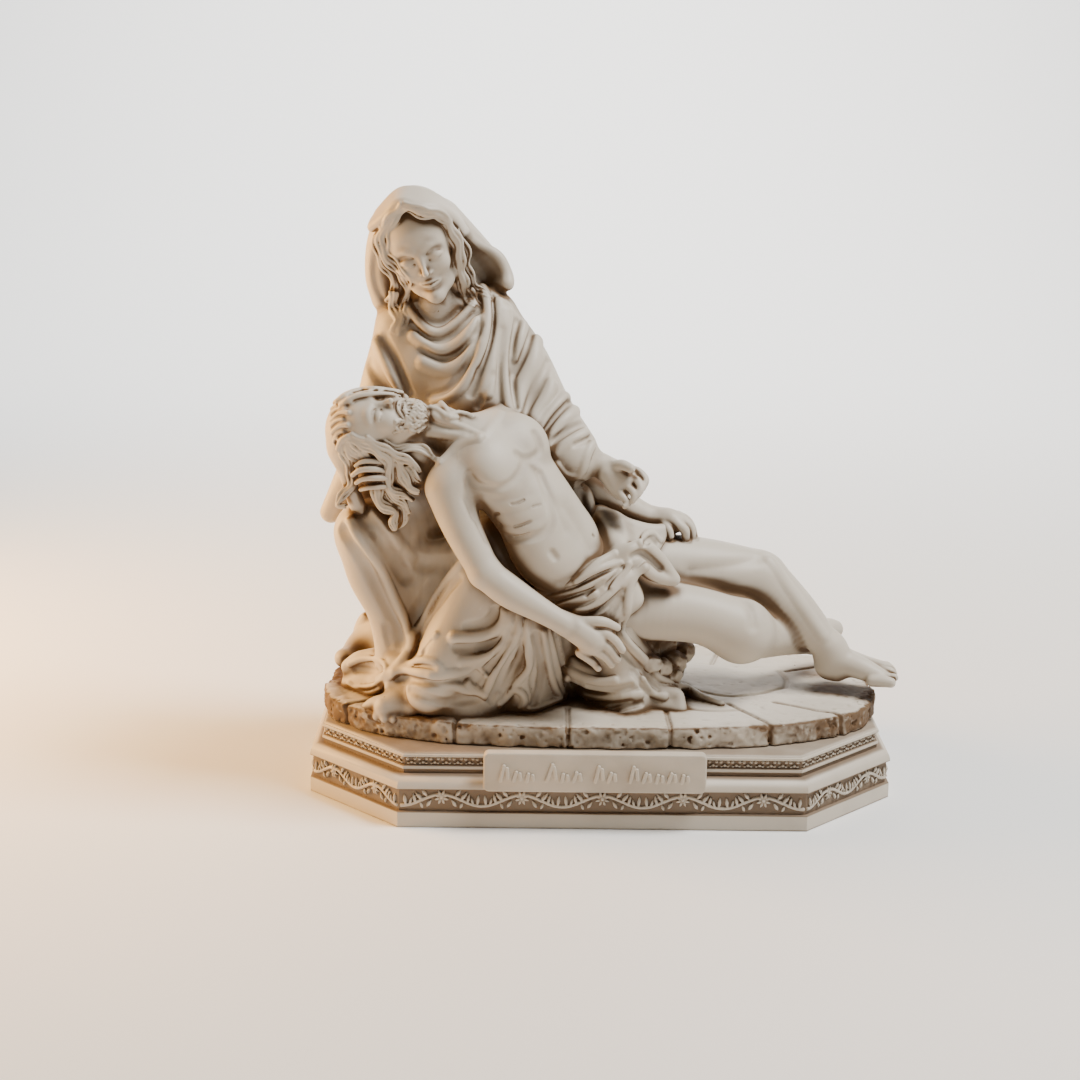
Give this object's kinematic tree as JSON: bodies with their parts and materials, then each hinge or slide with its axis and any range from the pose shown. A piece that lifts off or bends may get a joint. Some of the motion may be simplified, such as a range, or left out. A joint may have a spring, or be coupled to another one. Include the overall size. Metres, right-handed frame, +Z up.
{
  "type": "pieta statue",
  "caption": "Small cast-resin devotional statuette: seated veiled woman with a reclining man across her lap, paved stone ground, eight-sided moulded plinth and nameplate.",
  "frame": {"origin": "middle of the plinth's underside", "axes": "+Z up, front of the statue towards -Y, the man's feet towards +X"},
  "size_m": [0.2635, 0.1539, 0.2679],
  "materials": {
    "figure_resin": "cast ivory resin, satin, brown-grey antique wash in the hollows",
    "plinth_resin": "cast ivory resin, satin, antique wash in the carving",
    "plate_resin": "cast ivory resin, rubbed smooth, wash around the raised strokes"
  },
  "bodies": {
    "root": {"figure_group": "figure_resin", "plinth": "plinth_resin", "nameplate": "plate_resin"}
  },
  "joints": []
}
